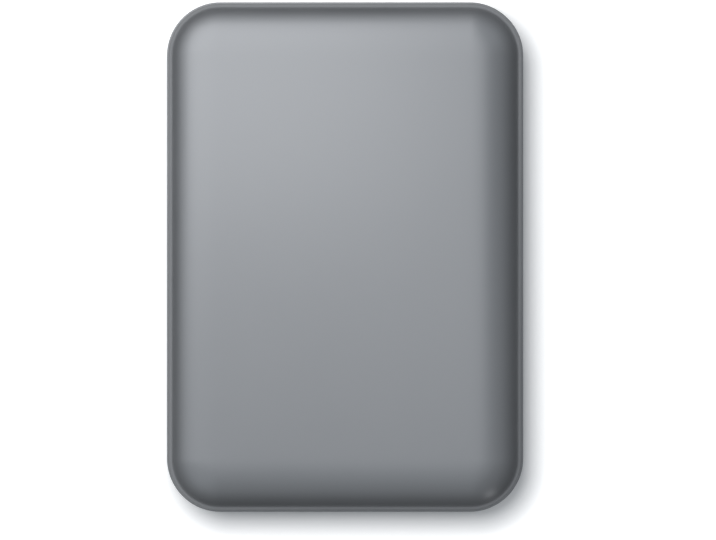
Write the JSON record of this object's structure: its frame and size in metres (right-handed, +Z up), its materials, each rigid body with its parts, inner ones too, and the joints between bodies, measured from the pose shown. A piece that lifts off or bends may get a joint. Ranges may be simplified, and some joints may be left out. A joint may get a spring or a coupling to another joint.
{
  "type": "external hard drive",
  "caption": "Slim portable drive in a smooth two-piece case with pillowed edges and round corners, a USB socket in one short end, rubber feet, and a disc drive inside.",
  "frame": {"origin": "middle of the plane that the feet rest on, under the middle of the case", "axes": "+X to the right and +Y towards the short end with the socket, seen from above; +Z up, out of the top face"},
  "size_m": [0.08, 0.1144, 0.0148],
  "materials": {
    "case_plastic": "satin",
    "foot_rubber": "matte",
    "clear_plastic": "clear",
    "pad_rubber": "matte",
    "circuit_board": "satin",
    "chip_plastic": "matte",
    "crystal_can": "satin",
    "lamp": "gloss",
    "socket_steel": "satin",
    "connector_plastic": "satin",
    "cast_aluminium": "cast",
    "lid_steel": "brushed",
    "gasket_rubber": "matte",
    "screw_steel": "machined",
    "bearing_steel": "ground",
    "hub_aluminium": "machined",
    "disc_glass": "mirror-coated",
    "core_steel": "stacked sheet",
    "copper_wire": "enamelled",
    "magnet": "nickel-plated",
    "arm_aluminium": "machined",
    "spring_steel": "polished",
    "slider_ceramic": "satin",
    "bobbin_plastic": "satin",
    "ramp_plastic": "satin",
    "filter_cloth": "matte"
  },
  "bodies": {
    "case": {"top_cover": "case_plastic", "bottom_cover": "case_plastic", "foot_port_left": "foot_rubber", "foot_port_right": "foot_rubber", "foot_far_left": "foot_rubber", "foot_far_right": "foot_rubber", "light_pipe": "clear_plastic", "shock_pad_port_left": "pad_rubber", "shock_pad_port_right": "pad_rubber", "shock_pad_far_left": "pad_rubber", "shock_pad_far_right": "pad_rubber", "bridge_board": "circuit_board", "bridge_controller": "chip_plastic", "bridge_memory": "chip_plastic", "bridge_crystal": "crystal_can", "status_led": "lamp", "usb_shell": "socket_steel", "usb_contact_block": "connector_plastic", "sata_receptacle": "connector_plastic", "sata_plug": "connector_plastic", "drive_base": "cast_aluminium", "drive_lid": "lid_steel", "lid_gasket": "gasket_rubber", "lid_screws": "screw_steel", "board_screws": "screw_steel", "drive_board": "circuit_board", "drive_controller": "chip_plastic", "motor_driver": "chip_plastic", "cache_memory": "chip_plastic", "breather_filter": "filter_cloth", "air_filter": "filter_cloth", "spindle_sleeve": "bearing_steel", "stator_core": "core_steel", "stator_windings": "copper_wire", "pivot_shaft": "bearing_steel", "lower_yoke": "core_steel", "upper_yoke": "core_steel", "lower_magnet": "magnet", "upper_magnet": "magnet", "load_ramp": "ramp_plastic", "flex_bracket": "connector_plastic"},
    "spindle": {"spindle_hub": "hub_aluminium", "spindle_shaft": "bearing_steel", "rotor_magnet": "magnet", "platter": "disc_glass", "disc_clamp": "lid_steel", "clamp_screw": "screw_steel"},
    "actuator": {"actuator_block": "arm_aluminium", "pivot_sleeve": "bearing_steel", "voice_coil": "copper_wire", "coil_frame": "bobbin_plastic", "upper_suspension": "spring_steel", "lower_suspension": "spring_steel", "upper_head": "slider_ceramic", "lower_head": "slider_ceramic"}
  },
  "joints": [
    {"name": "platter_spin", "type": "hinge", "parent": "case", "child": "spindle", "pos_m": [0, -0.01792, 0.0076], "axis": [0, 0, 1], "continuous": true},
    {"name": "actuator_swing", "type": "hinge", "parent": "case", "child": "actuator", "pos_m": [0.015, 0.02007, 0.0076], "axis": [0, 0, 1], "range_deg": [0, 34.2]}
  ]
}
